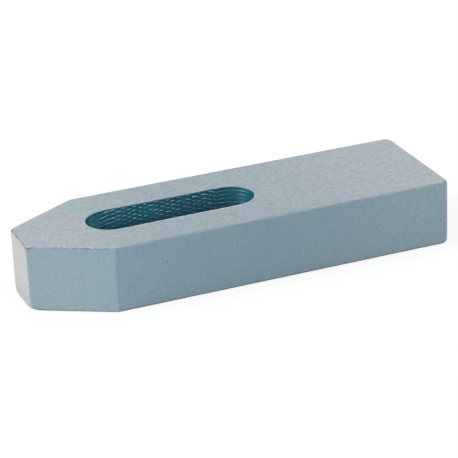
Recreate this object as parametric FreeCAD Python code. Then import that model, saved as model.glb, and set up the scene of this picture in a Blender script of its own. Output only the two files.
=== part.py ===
import FreeCAD, Part
import math
import os

from FreeCAD import Vector

# Flat strap clamp: a plain steel bar with a tapered nose and a milled bolt slot.
# Frame: +Z up, long axis along Y, nose towards -Y, origin at the middle of the bottom face.
# All lengths are in millimetres.

# Bar
LENGTH = 160.0
WIDTH = 50.0
HEIGHT = 25.0

# Nose
NOSE_WIDTH = 18.0
TAPER_ANGLE = 30.0

# Bolt slot
SLOT_WIDTH = 18.0
SLOT_LENGTH = 65.0
NOSE_TO_SLOT = 26.0
SLOT_RIM_BREAK = 0.4

# Marks of the serrated milling cutter on the slot's wall
RIDGE_PITCH = 1.56
RIDGE_DEPTH = 0.3
RIDGE_LAND = 0.24
FEED_STEP = 2.1

# Edges: rolled bar, sawn rear end, milled nose
BAR_EDGE_RADIUS = 0.7
REAR_EDGE_RADIUS = 1.4
REAR_CORNER_RADIUS = 2.0
NOSE_EDGE_RADIUS = 0.4
NOSE_FOOT_RADIUS = 1.0
TAPER_EDGE_RADIUS = 0.4
NOSE_CORNER_RADIUS = 1.2
SHOULDER_RADIUS = 2.0

# How far a cutting solid reaches past the face that it opens
OVERRUN = 1.0

# Places worked out from the sizes above
NOSE_Y = -LENGTH / 2
REAR_Y = LENGTH / 2
TAPER_LENGTH = (WIDTH - NOSE_WIDTH) / 2 / math.tan(math.radians(TAPER_ANGLE))
SHOULDER_Y = NOSE_Y + TAPER_LENGTH
SLOT_RADIUS = SLOT_WIDTH / 2
SLOT_TRAVEL = SLOT_LENGTH - SLOT_WIDTH
SLOT_FRONT_Y = NOSE_Y + NOSE_TO_SLOT + SLOT_RADIUS
SLOT_REAR_Y = SLOT_FRONT_Y + SLOT_TRAVEL

# The cutter's marks form a lattice on each straight wall: an even number of feed steps along
# the slot, and half a pitch between its rows, from just under the bar to just over it.
FEED_COLUMNS = 2 * round(SLOT_TRAVEL / FEED_STEP / 2)
COLUMN_STEP = SLOT_TRAVEL / FEED_COLUMNS
ROW_STEP = RIDGE_PITCH / 2
FIRST_ROW_Z = -RIDGE_PITCH
ROW_COUNT = 2 * math.ceil((HEIGHT + OVERRUN - FIRST_ROW_Z) / RIDGE_PITCH)


def rounded_outline(corners):
    """Closed wire through the corners, each given as its point and its radius."""
    edges = []
    ends = []
    for index, (point, radius) in enumerate(corners):
        before = (corners[index - 1][0] - point).normalize()
        after = (corners[(index + 1) % len(corners)][0] - point).normalize()
        half_angle = before.getAngle(after) / 2
        inward = (before + after).normalize()
        start = point + before * (radius / math.tan(half_angle))
        end = point + after * (radius / math.tan(half_angle))
        middle = point + inward * (radius / math.sin(half_angle) - radius)
        edges.append(Part.Arc(start, middle, end).toShape())
        ends.append((start, end))
    for index, (start, _) in enumerate(ends):
        edges.append(Part.makeLine(ends[index - 1][1], start))
    return Part.Wire(Part.__sortEdges__(edges))


def prism(corners, direction):
    """Solid swept from the outline of the corners along the direction."""
    return Part.Face(rounded_outline(corners)).extrude(direction)


def rolled_bar():
    """The bar as rolled: its section swept along its whole length."""
    half = WIDTH / 2
    corners = [
        (Vector(-half, NOSE_Y, 0), BAR_EDGE_RADIUS),
        (Vector(half, NOSE_Y, 0), BAR_EDGE_RADIUS),
        (Vector(half, NOSE_Y, HEIGHT), BAR_EDGE_RADIUS),
        (Vector(-half, NOSE_Y, HEIGHT), BAR_EDGE_RADIUS),
    ]
    return prism(corners, Vector(0, LENGTH, 0))


def plan_form():
    """The outline seen from above: square rear end, shoulders, tapers and blunt nose."""
    half = WIDTH / 2
    half_nose = NOSE_WIDTH / 2
    corners = [
        (Vector(-half_nose, NOSE_Y, 0), NOSE_CORNER_RADIUS),
        (Vector(half_nose, NOSE_Y, 0), NOSE_CORNER_RADIUS),
        (Vector(half, SHOULDER_Y, 0), SHOULDER_RADIUS),
        (Vector(half, REAR_Y, 0), REAR_CORNER_RADIUS),
        (Vector(-half, REAR_Y, 0), REAR_CORNER_RADIUS),
        (Vector(-half, SHOULDER_Y, 0), SHOULDER_RADIUS),
    ]
    return prism(corners, Vector(0, 0, HEIGHT))


def side_form():
    """The outline seen from the side, with the edges of the nose and of the rear end broken."""
    corners = [
        (Vector(-WIDTH / 2, NOSE_Y, 0), NOSE_FOOT_RADIUS),
        (Vector(-WIDTH / 2, REAR_Y, 0), REAR_EDGE_RADIUS),
        (Vector(-WIDTH / 2, REAR_Y, HEIGHT), REAR_EDGE_RADIUS),
        (Vector(-WIDTH / 2, NOSE_Y, HEIGHT), NOSE_EDGE_RADIUS),
    ]
    return prism(corners, Vector(WIDTH, 0, 0))


def taper_form(side):
    """All that lies inside one tapered face, with that face's long edges broken."""
    angle = math.radians(TAPER_ANGLE)
    along = Vector(side * math.sin(angle), math.cos(angle), 0)
    inward = Vector(-side * math.cos(angle), math.sin(angle), 0)
    start = Vector(side * NOSE_WIDTH / 2, NOSE_Y, 0) - along * LENGTH
    up = Vector(0, 0, HEIGHT)
    corners = [
        (start, TAPER_EDGE_RADIUS),
        (start + inward * 2 * LENGTH, TAPER_EDGE_RADIUS),
        (start + inward * 2 * LENGTH + up, TAPER_EDGE_RADIUS),
        (start + up, TAPER_EDGE_RADIUS),
    ]
    return prism(corners, along * 3 * LENGTH)


def blank():
    """The clamp before its slot is milled."""
    clamp = rolled_bar()
    for form in (plan_form(), side_form(), taper_form(1), taper_form(-1)):
        clamp = clamp.common(form)
    return clamp


def is_groove(column, row):
    """Whether the cutter's tooth went deepest at this point of the lattice."""
    return (column + row) % 2 == 0


def wall_points(side, column, row):
    """Lower and upper point of the wall where a column and a row of the lattice cross.

    They are one point, but for the ridges at the ends of the straight wall, which keep the
    short land that runs on round the end of the slot.
    """
    groove = is_groove(column, row)
    x = SLOT_RADIUS + (RIDGE_DEPTH if groove else 0)
    at_end = column in (0, FEED_COLUMNS)
    half_land = RIDGE_LAND / 2 if at_end and not groove else 0
    y = SLOT_FRONT_Y + column * COLUMN_STEP
    z = FIRST_ROW_Z + row * ROW_STEP
    return Vector(side * x, y, z - half_land), Vector(side * x, y, z + half_land)


def face_through(*points):
    """Flat face whose corners are the points."""
    return Part.Face(Part.makePolygon([*points, points[0]]))


def scalloped_wall(side):
    """Faces of one straight wall: shallow four-sided hollows, staggered like bricks."""
    faces = []
    for column in range(FEED_COLUMNS):
        for row in range(ROW_COUNT):
            near_low = wall_points(side, column, row)[1]
            far_low = wall_points(side, column + 1, row)[1]
            near_high = wall_points(side, column, row + 1)[0]
            far_high = wall_points(side, column + 1, row + 1)[0]
            if is_groove(column, row):
                faces.append(face_through(near_low, far_low, near_high))
                faces.append(face_through(far_high, near_high, far_low))
            else:
                faces.append(face_through(near_low, far_low, far_high))
                faces.append(face_through(near_low, far_high, near_high))
    for end, inner in ((0, 1), (FEED_COLUMNS, FEED_COLUMNS - 1)):
        for row in range(1, ROW_COUNT):
            if not is_groove(end, row):
                faces.append(face_through(*wall_points(side, end, row), wall_points(side, inner, row)[0]))
    return faces


def wall_profile(side, column):
    """Points of one wall from bottom to top, along one column of the lattice."""
    points = [wall_points(side, column, 0)[1]]
    for row in range(1, ROW_COUNT):
        lower, upper = wall_points(side, column, row)
        points.append(lower)
        if upper != lower:
            points.append(upper)
    points.append(wall_points(side, column, ROW_COUNT)[0])
    return points


def wall_row(side, row, which):
    """Points of one wall from front to rear, along one row of the lattice."""
    return [wall_points(side, column, row)[which] for column in range(FEED_COLUMNS + 1)]


def straight_cut():
    """What the cutter removes along the straight part of the slot."""
    faces = scalloped_wall(1) + scalloped_wall(-1)
    for column in (0, FEED_COLUMNS):
        faces.append(face_through(*wall_profile(1, column), *reversed(wall_profile(-1, column))))
    for row, which in ((0, 1), (ROW_COUNT, 0)):
        faces.append(face_through(*wall_row(1, row, which), *reversed(wall_row(-1, row, which))))
    shell = Part.makeCompound(faces)
    shell.sewShape()
    return Part.makeSolid(shell.Shells[0])


def serrated_section():
    """Half section of the milling cutter, with the flats and grooves of its teeth."""
    rim = wall_profile(1, 0)
    points = [Vector(point.x, 0, point.z) for point in rim]
    return face_through(Vector(0, 0, rim[0].z), *points, Vector(0, 0, rim[-1].z))


def rim_section(level, outward):
    """Half section of the countersink at one rim of the slot, outward being up or down."""
    reach = SLOT_RIM_BREAK + OVERRUN
    return face_through(
        Vector(0, 0, level - outward * SLOT_RIM_BREAK),
        Vector(SLOT_RADIUS, 0, level - outward * SLOT_RIM_BREAK),
        Vector(SLOT_RADIUS + reach, 0, level + outward * OVERRUN),
        Vector(0, 0, level + outward * OVERRUN),
    )


def end_cuts(section):
    """The half section turned through half a turn round each end of the slot."""
    cuts = []
    for y, first_angle in ((SLOT_FRONT_Y, 180), (SLOT_REAR_Y, 0)):
        cut = section.revolve(Vector(), Vector(0, 0, 1), 180)
        cut.rotate(Vector(), Vector(0, 0, 1), first_angle)
        cut.translate(Vector(0, y, 0))
        cuts.append(cut)
    return cuts


def rim_cuts():
    """What breaking the sharp edge of both rims of the slot removes."""
    cuts = []
    for level, outward in ((0, -1), (HEIGHT, 1)):
        section = rim_section(level, outward)
        right = section.extrude(Vector(0, SLOT_TRAVEL, 0))
        left = right.mirror(Vector(), Vector(1, 0, 0))
        for run in (right, left):
            run.translate(Vector(0, SLOT_FRONT_Y, 0))
            cuts.append(run)
        cuts += end_cuts(section)
    return cuts


def main():
    """Build the clamp and write it."""
    os.makedirs("parts", exist_ok=True)
    milled = blank().cut([straight_cut(), *end_cuts(serrated_section())])
    clamp = milled.cut(rim_cuts())
    clamp.exportStep("parts/strap.step")
    print(f"strap: {len(clamp.Faces)} faces, {clamp.Volume / 1000:.1f} cm3, valid {clamp.isValid()}")


main()
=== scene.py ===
import logging
import math
from dataclasses import astuple, dataclass, field, replace
from enum import Enum
from functools import cached_property
from typing import Iterator, Sequence

import bpy
from mathutils import Matrix, Vector, geometry, noise


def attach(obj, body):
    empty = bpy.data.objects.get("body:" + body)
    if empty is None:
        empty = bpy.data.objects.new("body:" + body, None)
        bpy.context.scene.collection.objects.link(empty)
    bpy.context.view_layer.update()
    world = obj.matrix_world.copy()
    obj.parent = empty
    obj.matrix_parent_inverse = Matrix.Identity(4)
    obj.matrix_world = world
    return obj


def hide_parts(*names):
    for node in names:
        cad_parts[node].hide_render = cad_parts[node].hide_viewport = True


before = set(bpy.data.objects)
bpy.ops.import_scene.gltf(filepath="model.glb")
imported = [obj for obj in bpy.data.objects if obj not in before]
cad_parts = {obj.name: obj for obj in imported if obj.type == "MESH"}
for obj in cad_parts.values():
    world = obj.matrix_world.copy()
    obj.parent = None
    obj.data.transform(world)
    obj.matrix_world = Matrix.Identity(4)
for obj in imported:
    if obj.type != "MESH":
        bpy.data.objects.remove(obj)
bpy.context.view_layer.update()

MM: float = 0.001
UP: Vector = Vector((0.0, 0.0, 1.0))

Colour = tuple[float, float, float]
Point = tuple[float, float, float]
Span = tuple[float, float]
Column = tuple[float, Vector]
Socket = bpy.types.NodeSocket
Outputs = bpy.types.NodeOutputs
Input = Socket | float | Sequence[float]
Feed = dict[str | int, Input]

ORIGIN: Point = (0.0, 0.0, 0.0)
EVEN: Point = (1.0, 1.0, 1.0)
WHITE: Colour = (1.0, 1.0, 1.0)


class Mark(Enum):
    """The finishing values that every point of the mesh carries."""

    # tone: picks each face's copy of the coat, lighter or darker partly as painted light and sheen
    TONE = "tone"
    DARK_EDGE = "dark_edge"
    RUBBED_EDGE = "rubbed_edge"
    # painted shade along the foot, where the clamp meets the floor
    FOOT = "foot"
    # how far round an end of the slot a point is; the material darkens the coat there as painted
    # shade
    ROUND_END = "round_end"
    # a darker band under the far rim only, with a lighter lip at its top
    RIM = "rim"
    # painted highlight along the slot's near rim
    BAND = "band"
    # painted glints on the ridges' upward flanks, where the crests are also scuffed
    RIDGE = "ridge"
    # painted shade on the flanks under the ridges
    HOLLOW = "hollow"


class Tone(float, Enum):
    """The tone mark of each kind of face, which picks its copy of the coat, lighter or darker
    partly as painted light.
    """

    TAPER = 0.0
    SIDE = 0.25
    REAR = 0.3
    FLAT = 0.5
    NOSE = 1.0


class Finish(Enum):
    """The two surfaces of the clamp, in the order of the mesh's material slots."""

    COAT = 0
    MILLED_WALL = 1


class Draw(Enum):
    """The row and layer of the seeded noise that each uneven thing is read from."""

    STEP_DRIFT = (3.1, 0.4)
    STEP_LIFT = (8.2, 5.9)
    LONG_RIPPLE = (0.3, 2.0)
    SHORT_RIPPLE = (6.1, 0.0)


def uneven(place: float, draw: Draw) -> float:
    """Smooth seeded noise about 0, read at one place of a row."""
    return noise.noise(Vector((place, *draw.value)))


def ramp(value: float, start: float, width: float) -> float:
    """How far a value is on its way from start to start + width, from 0 to 1."""
    return min(1.0, max(0.0, (value - start) / width))


def ease(share: float) -> float:
    """A share from 0 to 1, slowed down at both ends."""
    return share * share * (3.0 - 2.0 * share)


def bell(distance: float, width: float) -> float:
    """1 at no distance, and falling smoothly to almost 0 at twice the width."""
    return math.exp(-((distance / width) ** 2))


# Shapes


@dataclass(frozen=True)
class EdgeForm:
    """How the edges over and under one stretch of the outline are rounded and scuffed, and how much
    painted shade lies along their foot.

    Lengths are in millimetres and the other values run from 0 to 1.
    """

    top_radius: float
    foot_radius: float
    tone: float
    dark: float = 0.0
    rubbed: float = 0.0
    wave: float = 0.0
    foot_shade: float = 1.0

    def towards(self, other: "EdgeForm", share: float) -> "EdgeForm":
        """The form at one share of the corner between this stretch and the next one."""
        pairs = zip(astuple(self), astuple(other))
        return EdgeForm(*(here + (there - here) * ease(share) for here, there in pairs))


@dataclass(frozen=True)
class CornerForm:
    """How one upright edge of the clamp is rounded, and knocked down at its two ends.

    Lengths are in millimetres and the other values run from 0 to 1.
    """

    radius: float
    low_radius: float
    top_knock: float = 0.0
    foot_knock: float = 0.0
    reach: float = 1.5
    foot_reach: float = 1.5
    dark: float = 0.0
    rubbed: float = 0.0
    # how much less painted shade lies along the foot near the corner
    less_foot_shade: float = 0.6

    def radius_at(self, swell: float) -> float:
        """The rounding of the upright edge, which grows towards the foot."""
        return self.radius + (self.low_radius - self.radius) * swell

    def knock(self, form: EdgeForm, distance: float) -> EdgeForm:
        """Widen the roundings over and under a point that lies near the corner.

        Args:
            form: The form of the outline there.
            distance: How far the point is from the middle of the corner.

        Returns:
            The form with what the knocks add.
        """
        share = bell(distance, self.reach)
        foot_share = bell(distance, self.foot_reach)
        return replace(
            form,
            top_radius=form.top_radius + self.top_knock * share,
            foot_radius=form.foot_radius + self.foot_knock * foot_share,
            dark=form.dark + (self.dark - form.dark) * share,
            rubbed=form.rubbed + (self.rubbed - form.rubbed) * share,
            foot_shade=form.foot_shade * (1.0 - self.less_foot_shade * foot_share),
        )


@dataclass(frozen=True)
class OutlinePoint:
    """One point of the outline seen from above, in millimetres."""

    place: Vector
    outward: Vector
    form: EdgeForm
    run: float


@dataclass
class MeshDraft:
    """A mesh while it is laid out: points in millimetres, faces, normals and marks."""

    points: list[Vector] = field(default_factory=list)
    normals: list[Vector] = field(default_factory=list)
    marks: dict[Mark, list[float]] = field(default_factory=lambda: {mark: [] for mark in Mark})
    faces: list[tuple[int, ...]] = field(default_factory=list)
    finishes: list[int] = field(default_factory=list)
    corner_normals: list[Vector] = field(default_factory=list)

    def add_point(self, place: Vector, normal: Vector, marks: dict[Mark, float]) -> int:
        """Add a point.

        Args:
            place: Where it is, in millimetres.
            normal: Which way the smooth surface faces there.
            marks: The marks that aren't 0.

        Returns:
            The point's number.
        """
        self.points.append(place)
        self.normals.append(normal)
        for mark, values in self.marks.items():
            values.append(marks.get(mark, 0.0))
        return len(self.points) - 1

    def add_face(self, corners: Sequence[int], finish: Finish, flat: Vector | None = None) -> None:
        """Add a face.

        Args:
            corners: The numbers of its points, anticlockwise from outside.
            finish: Its surface.
            flat: The normal of a flat face, or None for one that is shaded smoothly.
        """
        self.faces.append(tuple(corners))
        self.finishes.append(finish.value)
        for corner in corners:
            self.corner_normals.append(self.normals[corner] if flat is None else flat)

    def add_band(self, lower: Sequence[int], upper: Sequence[int], finish: Finish) -> None:
        """Join two closed rings with the same number of points by four-sided faces."""
        for here, after in zip(range(len(lower)), [*range(1, len(lower)), 0]):
            self.add_face((lower[here], lower[after], upper[after], upper[here]), finish)

    def add_cap(self, outer: Sequence[int], hole: Sequence[int], facing: Vector) -> None:
        """Fill the flat face between its outline and the hole in it.

        Args:
            outer: The points round the face.
            hole: The points round the hole.
            facing: The normal of the face.
        """
        numbers = [*outer, *hole]
        rings = [[self.points[number] for number in ring] for ring in (outer, hole)]
        for corners in geometry.tessellate_polygon(rings):
            a, b, c = (self.points[numbers[corner]] for corner in corners)
            turned = (b - a).cross(c - a).dot(facing) < 0.0
            ordered = tuple(reversed(corners)) if turned else corners
            self.add_face([numbers[corner] for corner in ordered], Finish.COAT, facing)

    def to_object(self, name: str) -> bpy.types.Object:
        """Make the Blender object, in metres.

        Args:
            name: The name of the piece.

        Returns:
            The object, linked to the scene.
        """
        mesh = bpy.data.meshes.new(name)
        mesh.from_pydata([point * MM for point in self.points], [], self.faces)
        mesh.polygons.foreach_set("material_index", self.finishes)
        mesh.polygons.foreach_set("use_smooth", [True] * len(self.faces))
        for mark, values in self.marks.items():
            mesh.attributes.new(mark.value, "FLOAT", "POINT").data.foreach_set("value", values)
        mesh.update()
        mesh.normals_split_custom_set(self.corner_normals)
        made = bpy.data.objects.new(name, mesh)
        bpy.context.scene.collection.objects.link(made)
        return made


@dataclass(frozen=True)
class BoltSlot:
    """The slot through the clamp, with the staggered marks of the serrated cutter.

    All lengths are in millimetres. The cutter steps along the slot, and each step's teeth lie
    half a pitch above or below the last one's, so the wall is left in shallow staggered hollows,
    and the two round ends in level rings.
    """

    front_y: float = -45.0
    rear_y: float = 2.0
    radius: float = 9.0

    # The cutter's teeth and steps, and how uneven they are
    pitch: float = 1.56
    depth: float = 0.32
    tooth_flatness: float = 9.0
    steps: int = 22
    first_steps: int = 1
    neighbours: int = 2
    step_stride: float = 1.7
    uneven_step: float = 0.7
    uneven_lift: float = 0.3
    bite_noise: Point = (0.9, 0.8, 1.5)
    uneven_bite: float = 0.45

    # How the marks of one step fall behind its place
    front_lean: float = 0.02
    rear_lean: float = 0.2
    first_lean: float = -0.5
    curl: float = 0.2
    first_curl: float = 0.08

    # What is left of the rings' depth round the ends
    front_rings: float = 0.12
    rear_rings: float = 0.55
    ring_turn: float = 0.35

    # The rims, the darker band under the far rim, and the band of painted highlight along the near
    # rim
    rim_radius: float = 0.22
    rim_angles: tuple[int, ...] = (0, 22, 42, 60, 75)
    rim_depth: float = 1.1
    side_band: float = 0.9
    end_band: float = 0.35
    band_core: float = 0.7
    band_least: float = 0.25
    band_gain: float = 0.35
    band_most: float = 0.6
    near_side_ramp: Span = (0.1, 0.35)

    # Where the painted glints on the ridges fall, and how steep a flank under a ridge is before it
    # gets painted shade
    glint_slope_ramp: Span = (0.24, 0.3)
    glint_depth: float = 7.5
    glint_fade: float = 5.5
    glint_straight: float = 0.2
    glint_turn: float = 53.0
    glint_turn_width: float = 12.0
    under_ridge_slope_ramp: Span = (0.1, 0.35)

    column_length: float = 0.47
    rows_a_pitch: int = 16

    @property
    def step_length(self) -> float:
        """How far the cutter moved from one step to the next."""
        return (self.rear_y - self.front_y) / self.steps

    def step_place(self, step: int) -> tuple[float, float]:
        """Where the cutter stood at one step.

        Args:
            step: The number of the step, from the front.

        Returns:
            Its y, and by how much of a pitch its teeth are raised.
        """
        plain = self.front_y + step * self.step_length
        if step <= self.first_steps or step == self.steps:
            return plain, 0.0
        drift = self.uneven_step * uneven(step * self.step_stride, Draw.STEP_DRIFT)
        lift = self.uneven_lift * uneven(step * self.step_stride, Draw.STEP_LIFT)
        return plain + drift, 0.5 * (step % 2 == 0) + lift

    def fall(self, step: int, past: float) -> float:
        """How far one step's marks have fallen below their level.

        Args:
            step: The number of the step.
            past: How far behind the step's place.

        Returns:
            The fall, in millimetres.
        """
        if step <= self.first_steps:
            run = past + step * self.step_length
            return self.first_lean * run + self.first_curl * max(0.0, run) ** 2
        lean = self.front_lean + (self.rear_lean - self.front_lean) * step / self.steps
        return lean * past + self.curl * past**2

    def tooth_reach(self, step: int, height: float, lift: float) -> float:
        """How far from its axis the cutter cut at one height.

        Args:
            step: The number of the step.
            height: The height above the bottom of the clamp.
            lift: By how much of a pitch the step's teeth are raised.

        Returns:
            The radius of the cut.
        """
        turn = height / self.pitch + lift
        tooth = math.floor(turn)
        from_middle = abs(2.0 * (turn - tooth) - 1.0)
        step_stride, tooth_stride, layer = self.bite_noise
        drawn = noise.noise(Vector((step * step_stride, tooth * tooth_stride, layer)))
        bite = 1.0 + self.uneven_bite * drawn
        return self.radius + self.depth * bite * (1.0 - from_middle**self.tooth_flatness)

    def wall_offset(
        self, spine_y: float, outward: Vector, height: float, clamp_height: float
    ) -> float:
        """How far the wall lies outside the slot's plain outline.

        Args:
            spine_y: The y of the middle line's point that the wall is measured from.
            outward: The direction from there to the wall.
            height: The height above the bottom of the clamp.
            clamp_height: The height of the clamp, where the upper rim is.

        Returns:
            The distance, in millimetres.
        """
        nearest = round((spine_y - self.front_y) / self.step_length)
        first = max(0, nearest - self.neighbours)
        last = min(self.steps, nearest + self.neighbours)
        reach = 0.0
        for step in range(first, last + 1):
            y, lift = self.step_place(step)
            past = spine_y - y
            cut = self.tooth_reach(step, height + self.fall(step, past), lift)
            if step in (0, self.steps):
                cut = self.radius + (cut - self.radius) * self.ring_depth(outward)
            along = past * outward.y
            reach = max(reach, math.sqrt(along * along - past**2 + cut * cut) - along)
        to_rim = min(height, clamp_height - height)
        inside = max(0.0, self.rim_radius - to_rim)
        rounding = self.rim_radius - math.sqrt(self.rim_radius**2 - inside**2)
        return max(reach - self.radius, rounding)

    def ring_depth(self, outward: Vector) -> float:
        """How much of the marks' depth is left round the two ends, which are smoother."""
        left = self.front_rings if outward.y < 0.0 else self.rear_rings
        return 1.0 + (left - 1.0) * ease(ramp(abs(outward.y), 0.0, self.ring_turn))

    def ridge_glint_mark(self, slope: float, to_rim: float, outward: Vector) -> float:
        """How strong the painted glint on a ridge's upward flank is, where the crest's coat is also
        scuffed;
        most near the rims and fading deeper in, on the straight walls and where the rear end turns.

        Args:
            slope: How steeply the flank leans towards the nearest rim.
            to_rim: How deep in the slot it is.
            outward: Which side of the slot it is on.

        Returns:
            The mark, from 0 to 1.
        """
        steep = ramp(slope, *self.glint_slope_ramp)
        shallow = ramp(self.glint_depth - to_rim, 0.0, self.glint_fade)
        straight = max(0.0, 1.0 - abs(outward.y) / self.glint_straight)
        turn = math.degrees(math.atan2(outward.y, abs(outward.x)))
        rear = bell(turn - self.glint_turn, self.glint_turn_width)
        return steep * shallow * max(straight, rear)

    def near_side(self, outward: Vector) -> float:
        """1 on the side of the slot where the rim gets its painted highlight, and 0 on the other.
        """
        return ramp(outward.x, *self.near_side_ramp)

    def rim_highlight_strength(self, spine_y: float, outward: Vector) -> float:
        """How strong the painted highlight along the rim is at one place, more towards the rear.

        Args:
            spine_y: The y of the middle line's point that the place is measured from.
            outward: The direction from there to the place.

        Returns:
            The mark, from 0 to 1.
        """
        y = spine_y + self.radius * outward.y
        share = ramp(y, self.front_y, self.rear_y - self.front_y)
        bright = min(self.band_most, self.band_least + self.band_gain * share)
        return self.near_side(outward) * bright

    def band_width(self, outward: Vector) -> float:
        """How wide the band of painted highlight along the rim is, narrower round the ends."""
        return self.end_band + (self.side_band - self.end_band) * abs(outward.x) ** 3

    def columns(self) -> Iterator[Column]:
        """Places round the slot, anticlockwise from above.

        Yields:
            The y of a point on the middle line, and the direction from it to the wall.
        """
        travel = self.rear_y - self.front_y
        along = round(travel / self.column_length)
        round_end = round(math.pi * self.radius / self.column_length)
        for start, side in ((self.front_y, 1.0), (self.rear_y, -1.0)):
            for index in range(round_end):
                angle = math.pi * ((1.0 + side) / 2 + index / round_end)
                yield start, Vector((math.cos(angle), math.sin(angle), 0.0))
            for index in range(along):
                yield start + side * travel * index / along, Vector((side, 0.0, 0.0))

    def levels(self, clamp_height: float) -> list[float]:
        """Heights of the rows of points on the wall, close together at both rims.

        Args:
            clamp_height: The height of the clamp.

        Returns:
            The heights, from the bottom up.
        """
        count = round(clamp_height / self.pitch * self.rows_a_pitch)
        plain = [clamp_height * row / count for row in range(count + 1)]
        top = clamp_height - self.rim_radius
        inner = [level for level in plain if self.rim_radius < level < top]
        sines = [math.sin(math.radians(angle)) for angle in self.rim_angles]
        rim = [0.0, *(self.rim_radius * (1.0 - sine) for sine in sines)]
        return sorted([*rim, *(clamp_height - level for level in rim), *inner])

    def wall_marks(
        self, slope: float, to_rim: float, spine_y: float, outward: Vector
    ) -> dict[Mark, float]:
        """The marks of one point on the wall.

        Args:
            slope: How steeply the wall leans towards the nearest rim there.
            to_rim: How deep in the slot it is.
            spine_y: The y of the middle line's point that it is measured from.
            outward: The direction from there to it.

        Returns:
            The marks.
        """
        on_rim = to_rim < self.rim_radius
        rim = max(0.0, 1.0 - to_rim / self.rim_depth)
        # painted glints on the upward flanks of the ridges
        ridge = self.ridge_glint_mark(slope, to_rim, outward) * (to_rim > self.rim_radius)
        return {
            Mark.RIDGE: ridge,
            # painted shade on the flanks under the ridges
            Mark.HOLLOW: ramp(-slope, *self.under_ridge_slope_ramp),
            Mark.ROUND_END: abs(outward.y),
            Mark.RIM: rim * (1.0 - self.near_side(outward)),
            # painted highlight along the near rim
            Mark.BAND: self.rim_highlight_strength(spine_y, outward) * on_rim,
            Mark.TONE: Tone.FLAT,
        }

    def lay_out(self, draft: MeshDraft, clamp_height: float) -> tuple[list[int], list[int]]:
        """Add the wall of the slot to the mesh.

        Args:
            draft: The mesh.
            clamp_height: The height of the clamp.

        Returns:
            The points round the lower and the upper rim's band on the flat faces.
        """
        levels = self.levels(clamp_height)
        columns = list(self.columns())
        grid = []
        for level in levels:
            row = []
            for spine_y, outward in columns:
                offset = self.wall_offset(spine_y, outward, level, clamp_height)
                place = Vector((0.0, spine_y, level)) + outward * (self.radius + offset)
                row.append((place, offset))
            grid.append(row)
        rings = []
        for number, level in enumerate(levels):
            here, below = grid[number], grid[max(0, number - 1)]
            above = grid[min(len(levels) - 1, number + 1)]
            to_rim = min(level, clamp_height - level)
            outside = math.copysign(1.0, level - clamp_height / 2)
            ring = []
            for index, (spine_y, outward) in enumerate(columns):
                (low, low_offset), (high, high_offset) = below[index], above[index]
                after, before = here[(index + 1) % len(columns)][0], here[index - 1][0]
                normal = (high - low).cross(after - before).normalized()
                slope = outside * (high_offset - low_offset) / (high.z - low.z)
                marks = self.wall_marks(slope, to_rim, spine_y, outward)
                ring.append(draft.add_point(here[index][0], normal, marks))
            rings.append(ring)
        for lower, upper in zip(rings, rings[1:]):
            draft.add_band(upper, lower, Finish.MILLED_WALL)
        return self.lay_rim_band(draft, rings[0], -UP), self.lay_rim_band(draft, rings[-1], UP)

    def lay_rim_band(self, draft: MeshDraft, rim: Sequence[int], facing: Vector) -> list[int]:
        """Add the narrow band of the flat face along one rim, which carries the painted highlight.

        Args:
            draft: The mesh.
            rim: The points of the wall's last row.
            facing: Which way the flat face faces.

        Returns:
            The points round the outside of the band.
        """
        rings: list[list[int]] = [[], [], []]
        level = draft.points[rim[0]].z
        for (spine_y, outward), number in zip(self.columns(), rim):
            plain = {Mark.TONE: Tone.FLAT}
            # painted highlight on the band's inner rings
            whole = {**plain, Mark.BAND: self.rim_highlight_strength(spine_y, outward)}
            rings[0].append(draft.add_point(draft.points[number], facing, whole))
            for ring, share, marks in ((1, self.band_core, whole), (2, 1.0, plain)):
                reach = self.radius + self.band_width(outward) * share
                place = Vector((0.0, spine_y, level)) + outward * reach
                rings[ring].append(draft.add_point(place, facing, marks))
        for inner, outer in zip(rings, rings[1:]):
            lower, upper = (outer, inner) if facing.z > 0.0 else (inner, outer)
            draft.add_band(lower, upper, Finish.COAT)
        return rings[-1]


class Part(Enum):
    """The three parts of the clamp's side, from the bottom face to the top face."""

    FOOT = "foot"
    WALL = "wall"
    TOP = "top"


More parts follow.
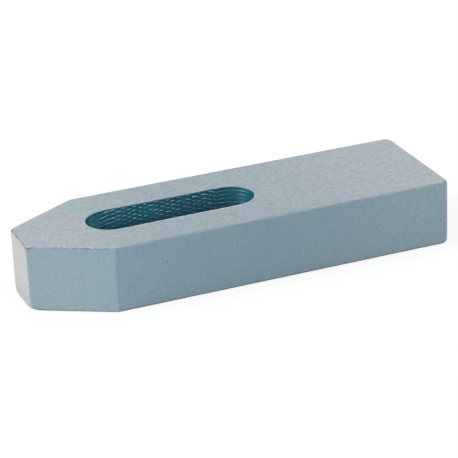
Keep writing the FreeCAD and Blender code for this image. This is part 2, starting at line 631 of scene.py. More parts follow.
@dataclass(frozen=True)
class StrapBody:
    """The clamp itself: a bar with a tapered nose, one slot and rounded edges.

    All lengths are in millimetres.
    """

    length: float = 160.0
    width: float = 50.0
    height: float = 25.0
    nose_width: float = 18.0
    taper_angle: float = 30.0
    swell_height: float = 4.5
    slot: BoltSlot = field(default_factory=BoltSlot)

    # How densely the points of the outline and of the sides lie
    point_spacing: float = 1.2
    crowding: float = 0.7
    arc_points: int = 10
    rounding_rows: int = 8
    wall_levels: tuple[float, ...] = (0.04, 0.08, 0.12, 0.17, 0.23, 0.32, 0.5, 0.7, 0.88)

    # The lengths of the edges' waves, and the share of the shorter ones
    long_ripple: float = 7.5
    short_ripple: float = 2.7
    short_share: float = 0.5

    # The middle and width of the scuffed lines up a rounding, and how fast the painted shade at the
    # foot fades
    dark_line: Span = (0.4, 0.3)
    rubbed_line: Span = (0.75, 0.25)
    foot_shade_fade: float = 3.2

    nose_edge: EdgeForm = EdgeForm(0.45, 1.0, Tone.NOSE, dark=0.9, foot_shade=0.65)
    near_taper_edge: EdgeForm = EdgeForm(
        0.55, 0.7, Tone.TAPER, dark=0.33, rubbed=0.38, wave=0.15, foot_shade=0.6
    )
    far_taper_edge: EdgeForm = EdgeForm(0.5, 0.7, Tone.TAPER, dark=0.9)
    near_long_edge: EdgeForm = EdgeForm(1.0, 0.7, Tone.SIDE, dark=0.1, wave=0.75)
    far_long_edge: EdgeForm = EdgeForm(0.5, 0.7, Tone.SIDE, dark=0.1, wave=0.25)
    rear_edge: EdgeForm = EdgeForm(1.4, 1.2, Tone.REAR, dark=0.28)
    far_nose_corner: CornerForm = CornerForm(1.2, 3.0, top_knock=0.5, foot_knock=0.9, dark=1.0)
    near_nose_corner: CornerForm = CornerForm(
        1.2, 3.8, top_knock=0.5, foot_knock=0.9, foot_reach=2.8, dark=0.95, rubbed=0.7
    )
    shoulder: CornerForm = CornerForm(2.0, 2.4, dark=0.1)
    rear_corner: CornerForm = CornerForm(2.7, 3.0, top_knock=0.5, foot_knock=0.5, dark=0.35)

    def corners(self) -> list[tuple[Vector, CornerForm, EdgeForm]]:
        """The corners of the outline, anticlockwise from above.

        Returns:
            Each corner's point, its form, and the form of the stretch that follows it.
        """
        half, half_nose, end = self.width / 2, self.nose_width / 2, self.length / 2
        shoulder_y = (half - half_nose) / math.tan(math.radians(self.taper_angle)) - end
        return [
            (Vector((-half_nose, -end, 0.0)), self.far_nose_corner, self.nose_edge),
            (Vector((half_nose, -end, 0.0)), self.near_nose_corner, self.near_taper_edge),
            (Vector((half, shoulder_y, 0.0)), self.shoulder, self.near_long_edge),
            (Vector((half, end, 0.0)), self.rear_corner, self.rear_edge),
            (Vector((-half, end, 0.0)), self.rear_corner, self.far_long_edge),
            (Vector((-half, shoulder_y, 0.0)), self.shoulder, self.far_taper_edge),
        ]

    def outline(self, swell: float) -> list[OutlinePoint]:
        """Points round the clamp, closer together at its corners.

        Args:
            swell: How far the upright edges are rounded from their plain to their low radius.

        Returns:
            The points, anticlockwise from above.
        """
        corners = self.corners()
        points: list[OutlinePoint] = []
        run = 0.0
        for index, (corner, rounding, form) in enumerate(corners):
            form_before = corners[index - 1][2]
            arriving = (corner - corners[index - 1][0]).normalized()
            next_corner, next_rounding, _ = corners[(index + 1) % len(corners)]
            leaving = (next_corner - corner).normalized()
            beyond = (corners[(index + 2) % len(corners)][0] - next_corner).normalized()
            first = Vector((arriving.y, -arriving.x, 0.0))
            radius = rounding.radius_at(swell)
            turn = arriving.angle(leaving)
            tangent = radius * math.tan(turn / 2)
            centre = corner - arriving * tangent - first * radius
            for step in range(self.arc_points + 1):
                share = step / self.arc_points
                outward = Matrix.Rotation(turn * share, 3, "Z") @ first
                blended = form_before.towards(form, share)
                points.append(OutlinePoint(centre + outward * radius, outward, blended, run))
                run += rounding.radius * turn / self.arc_points
            next_tangent = next_rounding.radius_at(swell) * math.tan(leaving.angle(beyond) / 2)
            start = corner + leaving * tangent
            end = next_corner - leaving * next_tangent
            whole = (next_corner - corner).length
            count = round(whole / self.point_spacing)
            outward = Vector((leaving.y, -leaving.x, 0.0))
            for step in range(1, count):
                share = step / count
                share += self.crowding * (0.5 - 0.5 * math.cos(math.pi * share) - share)
                place = start.lerp(end, share)
                points.append(OutlinePoint(place, outward, form, run + whole * share))
            run += whole
        return [self.knocked(point) for point in points]

    def knocked(self, point: OutlinePoint) -> OutlinePoint:
        """Knock down the form of a point that lies near a corner.

        Args:
            point: The point of the outline.

        Returns:
            The point with its new form.
        """
        form = point.form
        for corner, rounding, _ in self.corners():
            form = rounding.knock(form, (corner - point.place).length)
        return replace(point, form=form)

    def rows(self) -> list[tuple[Part, float]]:
        """The rows of points on the side, from the bottom face up.

        Returns:
            Each row's part of the side, and how far up that part it lies.
        """
        rounding = [row / self.rounding_rows for row in range(self.rounding_rows + 1)]
        return [
            *((Part.FOOT, share) for share in rounding),
            *((Part.WALL, share) for share in self.wall_levels),
            *((Part.TOP, share) for share in rounding),
        ]

    def swell_of(self, part: Part, share: float) -> float:
        """How far a row's upright edges are on their way to their low radius."""
        wall = max(0.0, 1.0 - share * self.height / self.swell_height) ** 2
        return {Part.FOOT: 1.0, Part.WALL: wall, Part.TOP: 0.0}[part]

    def row_point(
        self, point: OutlinePoint, part: Part, share: float
    ) -> tuple[Vector, Vector, dict[Mark, float]]:
        """One point on the clamp's side.

        Args:
            point: The point of the outline.
            part: The part of the side.
            share: How far up the part, from 0 to 1.

        Returns:
            Its place, normal and marks.
        """
        form = point.form
        ripple = uneven(point.run / self.long_ripple, Draw.LONG_RIPPLE)
        ripple += self.short_share * uneven(point.run / self.short_ripple, Draw.SHORT_RIPPLE)
        top = form.top_radius * (1.0 + form.wave * ripple)
        foot = form.foot_radius
        marks = {Mark.TONE: form.tone}
        if part is Part.FOOT:
            angle = math.radians(90.0 * share - 90.0)
            inset, level = foot * (1.0 - math.cos(angle)), foot * (1.0 + math.sin(angle))
            marks[Mark.TONE] = Tone.FLAT + (form.tone - Tone.FLAT) * share
            # painted shade along the foot rounding, fading upwards
            left = min(1.0, self.foot_shade_fade * (1.0 - share))
            marks[Mark.FOOT] = form.foot_shade * left * (share > 0.0)
        elif part is Part.WALL:
            angle = 0.0
            inset, level = 0.0, foot + (self.height - top - foot) * share
        else:
            angle = math.radians(90.0 * share)
            inset = top * (1.0 - math.cos(angle))
            level = self.height - top * (1.0 - math.sin(angle))
            marks[Mark.TONE] = form.tone + (Tone.FLAT - form.tone) * share
            for mark, strength, (middle, width) in (
                (Mark.DARK_EDGE, form.dark, self.dark_line),
                (Mark.RUBBED_EDGE, form.rubbed, self.rubbed_line),
            ):
                marks[mark] = strength * bell(share - middle, width) * (share < 1.0)
        place = point.place - point.outward * inset + UP * level
        return place, point.outward * math.cos(angle) + UP * math.sin(angle), marks

    def build(self) -> bpy.types.Object:
        """Lay out the whole clamp as one mesh.

        Returns:
            The clamp.
        """
        draft = MeshDraft()
        rings = []
        for part, share in self.rows():
            points = self.outline(self.swell_of(part, share))
            rings.append([draft.add_point(*self.row_point(point, part, share)) for point in points])
        for lower, upper in zip(rings, rings[1:]):
            draft.add_band(lower, upper, Finish.COAT)
        lower_rim, upper_rim = self.slot.lay_out(draft, self.height)
        draft.add_cap(rings[-1], upper_rim, UP)
        draft.add_cap(rings[0], lower_rim, -UP)
        return draft.to_object("strap_body")

    def dress(self, body: bpy.types.Object, materials: Sequence[bpy.types.Material]) -> None:
        """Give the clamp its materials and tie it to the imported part.

        Args:
            body: The clamp.
            materials: Its materials, in the order of Finish.
        """
        for material in materials:
            body.data.materials.append(material)
        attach(body, "root")
        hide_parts("strap")


# Materials


@dataclass(frozen=True)
class Texture:
    """One smooth noise: its fineness per metre, its finer layers and where it is read."""

    scale: Input
    detail: float = 2.0
    roughness: float = 0.5
    shift: Point = ORIGIN


@dataclass(frozen=True)
class Breakup:
    """How the smooth mark along an edge is broken up, with its fineness per metre."""

    mark: Mark
    fineness: float
    softness: float
    shift: Point = ORIGIN
    squeeze: Point = EVEN


class NodeSheet:
    """A node tree while it is filled, with short calls for the nodes used here."""

    def __init__(self, tree: bpy.types.NodeTree) -> None:
        """Start on an empty tree."""
        self.tree = tree
        tree.nodes.clear()

    def lay(self, kind: str, fed: Feed | None = None, **settings: object) -> Outputs:
        """Add a node, and join its inputs to outputs or give them plain values.

        Args:
            kind: The type of the node.
            fed: What its inputs get, by their name or number.
            **settings: Its own settings by name.

        Returns:
            Its outputs.
        """
        node = self.tree.nodes.new(kind)
        for name, value in settings.items():
            setattr(node, name, value)
        for name, value in (fed or {}).items():
            socket = node.inputs[name]
            if isinstance(value, Socket):
                self.tree.links.new(value, socket)
            elif isinstance(value, (int, float)):
                socket.default_value = value
            else:
                wide = len(socket.default_value) == 4 and len(value) == 3
                socket.default_value = (*value, 1.0) if wide else tuple(value)
        return node.outputs

    def math(self, operation: str, first: Input, second: Input = 0.0) -> Socket:
        """Work out one number from two."""
        return self.lay("ShaderNodeMath", {0: first, 1: second}, operation=operation)[0]

    def blend(self, share: Input, first: Input, second: Input, how: str = "MIX") -> Socket:
        """Blend a share of the second colour into the first."""
        fed = {0: share, 6: first, 7: second}  # 6 and 7 are the node's two colours
        return self.lay("ShaderNodeMix", fed, data_type="RGBA", blend_type=how)[2]

    def stretch(
        self, value: Input, low: Input, high: Input, to_low: Input = 0.0, to_high: Input = 1.0
    ) -> Socket:
        """Stretch the range from low to high to another one, easing in and out."""
        fed = dict(enumerate((value, low, high, to_low, to_high)))
        return self.lay("ShaderNodeMapRange", fed, interpolation_type="SMOOTHSTEP")[0]

    def shifted(self, place: Input, by: Point = ORIGIN, squeeze: Point = EVEN) -> Socket:
        """The point that a texture is read at, squeezed along each axis and then moved."""
        fed = {"Vector": place, "Location": by, "Scale": squeeze}
        return self.lay("ShaderNodeMapping", fed)[0]

    def noise(self, place: Input, texture: Texture) -> Socket:
        """Read a smooth noise at a point in space."""
        fed = {"Scale": texture.scale, "Detail": texture.detail, "Roughness": texture.roughness}
        return self.lay("ShaderNodeTexNoise", {0: self.shifted(place, texture.shift), **fed})[0]

    @cached_property
    def place(self) -> Socket:
        """The point in the clamp's own space."""
        return self.lay("ShaderNodeTexCoord")["Object"]

    def split(self, point: Input) -> Outputs:
        """The X, Y and Z of a point or direction."""
        return self.lay("ShaderNodeSeparateXYZ", {0: point})

    def mark(self, mark: Mark) -> Socket:
        """A finishing value of the mesh."""
        return self.lay("ShaderNodeAttribute", attribute_name=mark.value)["Fac"]

    def group(self, shared: bpy.types.NodeTree, **fed: Input) -> Outputs:
        """Place a shared group, with what its inputs get by name."""
        named = {name.title(): value for name, value in fed.items()}
        return self.lay("ShaderNodeGroup", named, node_tree=shared)


def start_group(
    name: str, takes: dict[str, str], gives: dict[str, str]
) -> tuple[NodeSheet, Outputs]:
    """Make a node group with named inputs and outputs.

    Args:
        name: The group's name.
        takes: The kind of each input, by name.
        gives: The kind of each output, by name.

    Returns:
        The group's sheet, and what the group is given.
    """
    tree = bpy.data.node_groups.new(name, "ShaderNodeTree")
    for sockets, side in ((takes, "INPUT"), (gives, "OUTPUT")):
        for socket, kind in sockets.items():
            tree.interface.new_socket(name=socket, in_out=side, socket_type=f"NodeSocket{kind}")
    sheet = NodeSheet(tree)
    return sheet, sheet.lay("NodeGroupInput")


def start_material(name: str) -> tuple[bpy.types.Material, NodeSheet]:
    """Make a material.

    Args:
        name: Its name.

    Returns:
        The material and its empty sheet.
    """
    material = bpy.data.materials.new(name)
    material.use_nodes = True
    return material, NodeSheet(material.node_tree)


class SharedEffects:
    """The effects that both surfaces of the clamp use."""

    CLOUDS: Texture = Texture(95.0, 3.0, 0.55, (0.31, 0.12, 0.4))
    CLOUD_SPAN: Span = (0.36, 0.66)
    BLOTCHES: Texture = Texture(1300.0, 4.0, 0.7)
    HUES: Texture = Texture(480.0, 3.0, 0.6, (0.5, 0.2, 0.9))
    HUE_SPAN: Span = (0.32, 0.68)
    HUE_SHARE: float = 0.024
    WARM: Colour = (1.0, 0.55, 0.45)
    COOL: Colour = (0.1, 0.75, 0.65)
    PEEL: Texture = Texture(900.0)
    GRIT: Texture = Texture(2600.0, 2.0, 0.6, (0.07, 0.02, 0.05))
    RAGGED_DETAIL: float = 3.0
    RAGGED_ROUGHNESS: float = 0.65
    RAGGED_SPAN: Span = (0.28, 0.72)
    LEAST_SHOWN: Span = (0.02, 0.2)

    def __init__(self) -> None:
        """Make each group once."""
        self.mottle = self.make_mottle()
        self.grain = self.make_grain()
        self.breakup = self.make_breakup()

    def make_mottle(self) -> bpy.types.NodeTree:
        """Soft clouds and small blotches in the colour of a coat.

        Returns:
            The group.
        """
        places = {"Place": "Vector", "Streaks": "Vector"}
        colours = {"Colour": "Color", "Other": "Color"}
        strengths = {"Clouds": "Float", "Blotches": "Float"}
        sheet, given = start_group(
            "coat_mottle", {**places, **colours, **strengths}, {"Colour": "Color"}
        )
        clouds = sheet.stretch(sheet.noise(given["Place"], self.CLOUDS), *self.CLOUD_SPAN)
        share = sheet.math("MULTIPLY", clouds, given["Clouds"])
        clouded = sheet.blend(share, given["Colour"], given["Other"])
        blotches = sheet.math("SUBTRACT", sheet.noise(given["Streaks"], self.BLOTCHES), 0.5)
        level = sheet.math("ADD", sheet.math("MULTIPLY", blotches, given["Blotches"]), 1.0)
        grey = sheet.lay("ShaderNodeCombineColor", {0: level, 1: level, 2: level})[0]
        shaded = sheet.blend(1.0, clouded, grey, "MULTIPLY")
        hues = sheet.stretch(sheet.noise(given["Place"], self.HUES), *self.HUE_SPAN)
        cool, warm = (sheet.blend(self.HUE_SHARE, shaded, hue) for hue in (self.COOL, self.WARM))
        sheet.lay("NodeGroupOutput", {"Colour": sheet.blend(hues, cool, warm)})
        return sheet.tree

    def make_grain(self) -> bpy.types.NodeTree:
        """The fine relief of a sprayed coat over ground steel.

        Returns:
            The group.
        """
        sheet, given = start_group(
            "coat_grain",
            {"Place": "Vector", "Peel": "Float", "Grit": "Float"},
            {"Height": "Float", "Grit": "Float"},
        )
        peel = sheet.noise(given["Place"], self.PEEL)
        grit = sheet.noise(given["Place"], self.GRIT)
        strengths = ((peel, given["Peel"]), (grit, given["Grit"]))
        heights = (sheet.math("MULTIPLY", texture, strength) for texture, strength in strengths)
        sheet.lay("NodeGroupOutput", {"Height": sheet.math("ADD", *heights), "Grit": grit})
        return sheet.tree

    def make_breakup(self) -> bpy.types.NodeTree:
        """Breaks the smooth mark along an edge into a ragged one.

        Returns:
            The group.
        """
        numbers = {"Amount": "Float", "Fineness": "Float", "Softness": "Float"}
        sheet, given = start_group(
            "mark_breakup", {"Place": "Vector", **numbers}, {"Mask": "Float"}
        )
        texture = Texture(given["Fineness"], self.RAGGED_DETAIL, self.RAGGED_ROUGHNESS)
        spread = sheet.stretch(sheet.noise(given["Place"], texture), *self.RAGGED_SPAN)
        start = sheet.math("SUBTRACT", 1.0, given["Amount"])
        low, high = (sheet.math(how, start, given["Softness"]) for how in ("SUBTRACT", "ADD"))
        present = sheet.stretch(given["Amount"], *self.LEAST_SHOWN)
        mask = sheet.math("MULTIPLY", sheet.stretch(spread, low, high), present)
        sheet.lay("NodeGroupOutput", {"Mask": mask})
        return sheet.tree

    def broken_up(self, sheet: NodeSheet, breakup: Breakup) -> Socket:
        """Where a mark of the mesh shows, broken up raggedly; the marks are scuffs and painted
        light alike.

        Args:
            sheet: The material's sheet.
            breakup: The mark, and how it is broken up.

        Returns:
            The strength of the mark there.
        """
        place = sheet.shifted(sheet.place, breakup.shift, breakup.squeeze)
        form = {"fineness": breakup.fineness, "softness": breakup.softness}
        return sheet.group(self.breakup, place=place, amount=sheet.mark(breakup.mark), **form)["Mask"]


@dataclass(frozen=True)
class SprayedSkin:
    """The relief and gloss of a sprayed coat.

    relief is the depth of the grain in metres, and roughness its least and its most.
    """

    roughness: Span
    relief: float
    grit: float
    peel: float = 1.0
    metallic: float = 0.0
    gloss: float = 0.5
    grit_span: Span = (0.3, 0.7)

    def cover(self, sheet: NodeSheet, effects: SharedEffects, colour: Input) -> None:
        """Finish a material with this skin.

        Args:
            sheet: The material's sheet.
            effects: The shared node groups.
            colour: The colour of the coat.
        """
        grain = sheet.group(effects.grain, place=sheet.place, peel=self.peel, grit=self.grit)
        relief = {"Strength": 1.0, "Distance": self.relief, "Height": grain["Height"]}
        coat = {
            "Base Color": colour,
            "Metallic": self.metallic,
            "Specular IOR Level": self.gloss,
            "Roughness": sheet.stretch(grain["Grit"], *self.grit_span, *self.roughness),
            "Normal": sheet.lay("ShaderNodeBump", relief)[0],
        }
        surface = sheet.lay("ShaderNodeBsdfPrincipled", coat)[0]
        sheet.lay("ShaderNodeOutputMaterial", {"Surface": surface})


Run = tuple[Colour, Colour, Colour]


@dataclass(frozen=True)
class CoatTones:
    """The colours of the satin coat on each kind of face, and of its scuffed edges.

    Each kind of face has its own copy of the coat, partly its own colour and partly painted light
    and sheen: the nose and the flat faces lighter and more neutral, the sides darker and bluer.
    Three colours in a row are those near the nose, halfway along and at the rear end; on the sides
    and flat faces they are lighter towards both ends, partly as painted light.
    """

    side: Run = ((0.222, 0.328, 0.412), (0.188, 0.294, 0.362), (0.234, 0.328, 0.378))
    taper: Run = ((0.252, 0.346, 0.398), (0.125, 0.360, 0.390), (0.125, 0.360, 0.390))
    flat: Run = ((0.306, 0.340, 0.384), (0.228, 0.282, 0.326), (0.294, 0.328, 0.358))
    nose: Colour = (0.403, 0.392, 0.414)
    # painted shade: the nose darkens towards its bottom
    nose_foot_shade: Colour = (0.335, 0.340, 0.372)
    green: Colour = (0.225, 0.345, 0.330)
    dark_edge: Colour = (0.075, 0.082, 0.092)
    # pale colour of the scuffed edges, and of the painted highlight along the slot's near rim
    rubbed_edge: Colour = (0.58, 0.64, 0.70)
    # near black painted shade along the foot
    foot: Colour = (0.022, 0.032, 0.042)


@dataclass(frozen=True)
class Spots:
    """Ragged round spots in the coat, with lengths in metres.

    edge is how far from its middle a spot starts to fade, and how far it reaches.
    """

    middles: tuple[Point, ...]
    edge: Span
    strength: float
    texture: Texture
    ragged: float

    def mask(self, sheet: NodeSheet) -> Socket:
        """Where the spots are, and how strong.

        Args:
            sheet: The material's sheet.

        Returns:
            Their strength.
        """
        ragged = sheet.math("MULTIPLY", sheet.noise(sheet.place, self.texture), self.ragged)
        strength: Input = 0.0
        for middle in self.middles:
            fed = {0: sheet.place, 1: middle}
            distance = sheet.lay("ShaderNodeVectorMath", fed, operation="DISTANCE")["Value"]
            reach = sheet.math("ADD", distance, ragged)
            spot = sheet.stretch(reach, *self.edge, self.strength, 0.0)
            strength = sheet.math("MAXIMUM", strength, spot)
        return strength


@dataclass(frozen=True)
class SatinCoat:
    """The grey-blue coat on the outside of the clamp, with lengths in metres."""

    tones: CoatTones = CoatTones()
    skin: SprayedSkin = SprayedSkin(roughness=(0.36, 0.48), relief=0.00012, grit=0.6)
    half_length: float = 0.08
    height: float = 0.025

    # Where the colours change along the clamp, as shares of half its length
    nose_end: float = -0.87
    rear_start: float = 0.1
    flat_settled: float = -0.38
    blotch_start: float = 0.3

    # How strong the clouds and blotches are, and how blotches are drawn out
    clouds: float = 0.15
    side_blotches: Span = (0.54, 0.78)
    flat_blotches: float = 1.3
    nose_calm: float = 0.6
    upright_squeeze: Point = (1.0, 1.0, 0.8)
    level_squeeze: Point = (1.0, 0.55, 1.0)
    level_span: Span = (0.6, 0.8)

    dark: Breakup = Breakup(Mark.DARK_EDGE, 500.0, 1.0)
    dark_strength: float = 0.95
    rubbed: Breakup = Breakup(Mark.RUBBED_EDGE, 900.0, 0.3, shift=(0.2, 0.1, 0.3))
    rubbed_strength: float = 0.68
    # painted highlight on the flat face along the slot's near rim
    band: Breakup = Breakup(Mark.BAND, 420.0, 0.8)
    green_patch: Spots = Spots(
        ((-0.0178, -0.0512, 0.025),), (0.006, 0.015), 0.65, Texture(240.0, 3.0, 0.6), 0.008
    )
    specks: Spots = Spots(
        (
            (0.01906, -0.0326, 0.025),
            (-0.0019, 0.0291, 0.025),
            (0.025, -0.0249, 0.0226),
            (0.0246, -0.0486, 0.0246),
            (0.025, -0.0331, 0.0158),
        ),
        (0.0003, 0.0006), 0.5, Texture(3000.0, 1.0), 0.0003,
    )

    def along(self, sheet: NodeSheet, y: Input, run: Run, settled: float = 0.0) -> Input:
        """A colour that changes slowly from the nose to the rear end, partly as painted light along
        the clamp.

        Args:
            sheet: The material's sheet.
            y: The place along the clamp.
            run: The colours near the nose, halfway and at the rear end.
            settled: Where the middle colour is reached, as a share of half the length.

        Returns:
            The colour.
        """
        half = self.half_length
        to_middle = sheet.stretch(y, self.nose_end * half, settled * half)
        to_rear = sheet.stretch(y, self.rear_start * half, half)
        return sheet.blend(to_rear, sheet.blend(to_middle, run[0], run[1]), run[2])

    def face_colour_and_light(self, sheet: NodeSheet) -> Socket:
        """The colour of each kind of face, partly the coat's own and partly painted light and
        sheen, told apart by the mesh's tone mark.

        Args:
            sheet: The material's sheet.

        Returns:
            The colour.
        """
        tone = sheet.mark(Mark.TONE)
        split = sheet.split(sheet.place)
        low = sheet.stretch(split["Z"], 0.0, 0.5 * self.height)
        colour = self.along(sheet, split["Y"], self.tones.taper)
        side = self.along(sheet, split["Y"], self.tones.side)
        flat = self.along(sheet, split["Y"], self.tones.flat, self.flat_settled)
        # painted shade: the nose darkens towards the bottom
        nose = sheet.blend(low, self.tones.nose_foot_shade, self.tones.nose)
        kinds = (Tone.TAPER, Tone.SIDE, Tone.FLAT, Tone.NOSE)
        for start, end, later in zip(kinds, kinds[1:], (side, flat, nose)):
            colour = sheet.blend(sheet.stretch(tone, start, end), colour, later)
        return colour

    def streaks(self, sheet: NodeSheet) -> Socket:
        """The place squeezed so that blotches run up the sides, and along the flat faces.

        Args:
            sheet: The material's sheet.

        Returns:
            The squeezed place.
        """
        normal = sheet.split(sheet.lay("ShaderNodeTexCoord")["Normal"])
        facing_up = sheet.stretch(sheet.math("ABSOLUTE", normal["Z"]), *self.level_span)
        upright, level = (
            sheet.shifted(sheet.place, squeeze=squeeze)
            for squeeze in (self.upright_squeeze, self.level_squeeze)
        )
        fed = {0: facing_up, 4: upright, 5: level}  # 4 and 5 are the node's two vectors
        return sheet.lay("ShaderNodeMix", fed, data_type="VECTOR")[1]

    def blotches(self, sheet: NodeSheet) -> Socket:
        """How strong the blotches are: most on the flat faces, and more towards the rear.

        Args:
            sheet: The material's sheet.

        Returns:
            Their strength.
        """
        tone = sheet.mark(Mark.TONE)
        half = self.half_length
        y = sheet.split(sheet.place)["Y"]
        on_side = sheet.stretch(y, self.blotch_start * half, half, *self.side_blotches)
        on_flat = sheet.stretch(tone, Tone.SIDE, Tone.FLAT, on_side, self.flat_blotches)
        calm = sheet.stretch(tone, Tone.FLAT, Tone.NOSE, 0.0, self.nose_calm)
        return sheet.math("SUBTRACT", on_flat, calm)

    def make(self, effects: SharedEffects) -> bpy.types.Material:
        """Make the material.

        Args:
            effects: The shared node groups.

        Returns:
            The material.
        """
        material, sheet = start_material("grey_blue_coat")
        tones = self.tones
        plain = self.face_colour_and_light(sheet)
        patched = sheet.blend(self.green_patch.mask(sheet), plain, tones.green)
        mottled = sheet.group(
            effects.mottle, place=sheet.place, streaks=self.streaks(sheet), colour=patched,
            other=tones.green, clouds=self.clouds, blotches=self.blotches(sheet),
        )["Colour"]
        # painted shade along the foot
        foot_shaded = sheet.blend(sheet.mark(Mark.FOOT), mottled, tones.foot)
        dark = sheet.math("MULTIPLY", effects.broken_up(sheet, self.dark), self.dark_strength)
        darkened = sheet.blend(dark, foot_shaded, tones.dark_edge)
        specked = sheet.blend(self.specks.mask(sheet), darkened, tones.dark_edge)
        rubbed = sheet.math("MULTIPLY", effects.broken_up(sheet, self.rubbed), self.rubbed_strength)
        # pale scuffed edges, and the painted highlight along the slot's near rim
        light = sheet.math("MAXIMUM", rubbed, effects.broken_up(sheet, self.band))
        self.skin.cover(sheet, effects, sheet.blend(light, specked, tones.rubbed_edge))
        return material


@dataclass(frozen=True)
class MilledWall:
    """The glossier, deeper coat that has run into the hollows of the slot's wall.

    Two colours in a row are those at the front and at the rear of the slot.
    """

    coat: tuple[Colour, Colour] = ((0.029, 0.288, 0.400), (0.020, 0.194, 0.276))
    # darker copies of the coat round the two ends: painted shade
    round_end: tuple[Colour, Colour] = ((0.002, 0.155, 0.224), (0.006, 0.131, 0.192))
    # painted shade deep in the middle of the wall
    middle: Colour = (0.008, 0.095, 0.145)
    # painted shade on the flanks under the ridges
    hollow: Colour = (0.008, 0.045, 0.068)
    # pale ridges: painted glints, where the crests are also scuffed
    rubbed: Colour = (0.300, 0.535, 0.635)
    # painted highlight along the near rim
    rim_highlight_colour: Colour = (0.50, 0.57, 0.63)
    # a darker band under the far rim only, with a lighter lip at its top
    rim: Colour = (0.030, 0.095, 0.120)
    soft_rim: Colour = (0.210, 0.360, 0.420)
    skin: SprayedSkin = SprayedSkin(
        roughness=(0.18, 0.32), relief=0.00003, grit=0.4, metallic=0.1, gloss=0.35
    )

    # Lengths in metres, and the depths, as shares of half the height from the middle, over which
    # the painted shade deep in the wall gives way to the coat
    half_height: float = 0.0125
    ends: Span = (-0.05, 0.005)
    deep_shade_depths: Span = (0.25, 0.6)

    clouds: float = 0.3
    blotches: float = 0.5
    blotch_squeeze: Point = (1.0, 0.45, 1.0)
    under_ridge_shade_strength: float = 0.62
    ridge_glint_breakup: Breakup = Breakup(Mark.RIDGE, 900.0, 0.9, squeeze=(1.0, 0.28, 1.0))
    rim_breakup: Breakup = Breakup(Mark.RIM, 900.0, 0.6)

    # The values of the marks over which one colour turns into the next
    round_end_shade_span: Span = (0.3, 0.9)
    soft_rim_span: Span = (0.5, 0.75)
    rim_highlight_span: Span = (0.0, 0.6)

    def make(self, effects: SharedEffects) -> bpy.types.Material:
        """Make the material.

        Args:
            effects: The shared node groups.

        Returns:
            The material.
        """
        material, sheet = start_material("milled_teal_wall")
        split = sheet.split(sheet.place)
        from_middle = sheet.math("ABSOLUTE", sheet.math("SUBTRACT", split["Z"], self.half_height))
        depths = (share * self.half_height for share in self.deep_shade_depths)
        # painted shade deep in the wall, giving way to the coat towards both rims
        out_of_deep_shade = sheet.stretch(from_middle, *depths)
        rearward = sheet.stretch(split["Y"], *self.ends)
        straight, turned = (sheet.blend(rearward, *pair) for pair in (self.coat, self.round_end))
        # painted shade round the ends of the slot
        end_shade = sheet.stretch(sheet.mark(Mark.ROUND_END), *self.round_end_shade_span)
        coat = sheet.blend(end_shade, straight, turned)
        mottled = sheet.group(
            effects.mottle, place=sheet.place, clouds=self.clouds, blotches=self.blotches,
            streaks=sheet.shifted(sheet.place, squeeze=self.blotch_squeeze), other=self.middle,
            colour=sheet.blend(out_of_deep_shade, self.middle, coat),
        )["Colour"]
        # painted shade on the flanks under the ridges
        shade_under_ridges = sheet.math("MULTIPLY", sheet.mark(Mark.HOLLOW), self.under_ridge_shade_strength)
        shaded = sheet.blend(shade_under_ridges, mottled, self.hollow)
        # painted glints on the ridges
        glinted = sheet.blend(effects.broken_up(sheet, self.ridge_glint_breakup), shaded, self.rubbed)
        # a darker band under the far rim only, with a lighter lip at its top
        soft = sheet.stretch(sheet.mark(Mark.RIM), *self.soft_rim_span)
        edge = sheet.blend(soft, self.rim, self.soft_rim)
        edged = sheet.blend(effects.broken_up(sheet, self.rim_breakup), glinted, edge)
        # painted highlight along the near rim
        bright = sheet.stretch(sheet.mark(Mark.BAND), *self.rim_highlight_span)
        self.skin.cover(sheet, effects, sheet.blend(bright, edged, self.rim_highlight_colour))
        return material


# Studio


@dataclass(frozen=True)
class SoftLamp:
    """A distant soft lamp.

    towards_lamp is the direction to it, strength its plain strength and spread its width seen
    from the clamp, in degrees.
    """

    name: str
    towards_lamp: Point
    strength: float
    spread: float

    def hang(self) -> bpy.types.Object:
        """Add the lamp to the scene.

        Returns:
            The lamp.
        """
        light = bpy.data.lights.new(self.name, "SUN")
        light.energy = self.strength
        light.angle = math.radians(self.spread)
        lamp = bpy.data.objects.new(self.name, light)
        lamp.rotation_mode = "QUATERNION"
        lamp.rotation_quaternion = Vector(self.towards_lamp).to_track_quat("Z", "Y")
        bpy.context.scene.collection.objects.link(lamp)
        return lamp


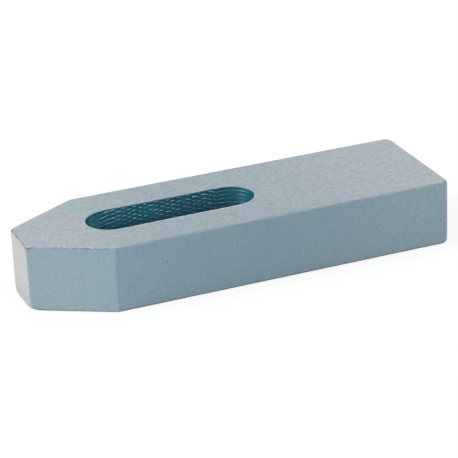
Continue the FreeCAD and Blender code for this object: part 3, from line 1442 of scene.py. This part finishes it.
@dataclass(frozen=True)
class Studio:
    """A white floor under an even white sky, with one lamp before the nose and one overhead.

    Lengths are in metres.
    """

    sky: float = 0.55
    floor_size: float = 8.0
    floor_drop: float = 0.0001
    floor_white: float = 0.9
    lift: float = 0.82
    lamps: tuple[SoftLamp, ...] = (
        SoftLamp("front_lamp", (-0.1, -0.75, 0.65), 2.4, 40.0),
        SoftLamp("overhead_lamp", (0.2, 0.3, 0.93), 0.55, 28.0),
    )

    def seen_rays(self, sheet: NodeSheet) -> Socket:
        """Whether a ray comes from the camera, a reflection or through glass.

        Args:
            sheet: The sheet that asks.

        Returns:
            1 if it does and 0 if not.
        """
        path = sheet.lay("ShaderNodeLightPath")
        seen = sheet.math("MAXIMUM", path["Is Camera Ray"], path["Is Glossy Ray"])
        return sheet.math("MAXIMUM", seen, path["Is Transmission Ray"])

    def paint_sky(self) -> None:
        """Make the world: plain white where it is seen, and the sky's own level as light."""
        world = bpy.data.worlds.new("studio_sky")
        world.use_nodes = True
        bpy.context.scene.world = world
        sheet = NodeSheet(world.node_tree)
        extra = sheet.math("MULTIPLY", self.seen_rays(sheet), 1.0 - self.sky)
        strength = sheet.math("ADD", extra, self.sky)
        light = sheet.lay("ShaderNodeBackground", {"Color": WHITE, "Strength": strength})[0]
        sheet.lay("ShaderNodeOutputWorld", {"Surface": light})

    def floor_material(self) -> bpy.types.Material:
        """Make the floor's white, partly lit by itself like a light table, and clear from below.

        Returns:
            The material.
        """
        material, sheet = start_material("white_floor")
        matt = sheet.lay("ShaderNodeBsdfDiffuse", {"Color": (self.floor_white,) * 3})[0]
        glow = sheet.lay("ShaderNodeEmission", {"Color": WHITE, "Strength": 1.0})[0]
        lifted = sheet.math("MULTIPLY", self.seen_rays(sheet), self.lift)
        above = sheet.lay("ShaderNodeMixShader", {0: lifted, 1: matt, 2: glow})[0]
        below = sheet.lay("ShaderNodeNewGeometry")["Backfacing"]
        clear = sheet.lay("ShaderNodeBsdfTransparent")[0]
        surface = sheet.lay("ShaderNodeMixShader", {0: below, 1: above, 2: clear})[0]
        sheet.lay("ShaderNodeOutputMaterial", {"Surface": surface})
        return material

    def lay_floor(self) -> bpy.types.Object:
        """Lay the floor under the clamp.

        Returns:
            The floor.
        """
        half = self.floor_size / 2
        corners = [(-half, -half, 0.0), (half, -half, 0.0), (half, half, 0.0), (-half, half, 0.0)]
        mesh = bpy.data.meshes.new("floor")
        mesh.from_pydata(corners, [], [(0, 1, 2, 3)])
        mesh.materials.append(self.floor_material())
        floor = bpy.data.objects.new("floor", mesh)
        floor.location.z = -self.floor_drop
        bpy.context.scene.collection.objects.link(floor)
        return floor

    def set_up(self) -> None:
        """Add the sky, the floor and the lamps."""
        self.paint_sky()
        self.lay_floor()
        for lamp in self.lamps:
            lamp.hang()
        bpy.context.scene.view_settings.view_transform = "Standard"


@dataclass(frozen=True)
class StudioCamera:
    """The camera, in metres and degrees, with its horizon tipped a little.

    The lens and the sensor's width are in millimetres.
    """

    place: Point = (0.690948, -0.272513, 0.336519)
    aim: Point = (0.000499, 0.000814, 0.012124)
    roll: float = -2.4538
    lens: float = 171.784
    sensor: float = 36.0
    nearest: float = 0.01
    farthest: float = 50.0

    def set_up(self) -> bpy.types.Object:
        """Add the camera and make it the scene's own.

        Returns:
            The camera.
        """
        forward = (Vector(self.aim) - Vector(self.place)).normalized()
        level = forward.cross(UP).normalized()
        roll = math.radians(self.roll)
        right = level * math.cos(roll) + level.cross(forward) * math.sin(roll)
        above = right.cross(forward)
        data = bpy.data.cameras.new("studio_camera")
        data.lens = self.lens
        data.sensor_width = self.sensor
        data.clip_start = self.nearest
        data.clip_end = self.farthest
        camera = bpy.data.objects.new("studio_camera", data)
        turned = Matrix((right, above, -forward)).transposed().to_4x4()
        camera.matrix_world = Matrix.Translation(Vector(self.place)) @ turned
        bpy.context.scene.collection.objects.link(camera)
        bpy.context.scene.camera = camera
        return camera


def main() -> None:
    """Build the camera, the clamp and the studio, and report each."""
    logging.basicConfig(level=logging.INFO, format="%(message)s")
    report = logging.getLogger("strap_clamp")
    camera = StudioCamera().set_up()
    report.info("%s: lens %.1f mm", camera.name, camera.data.lens)
    effects = SharedEffects()
    clamp = StrapBody()
    body = clamp.build()
    clamp.dress(body, (SatinCoat().make(effects), MilledWall().make(effects)))
    mesh = body.data
    report.info("%s: %d points, %d faces", body.name, len(mesh.vertices), len(mesh.polygons))
    Studio().set_up()
    report.info("studio: floor, sky and lamps")


if __name__ == "__main__":
    main()
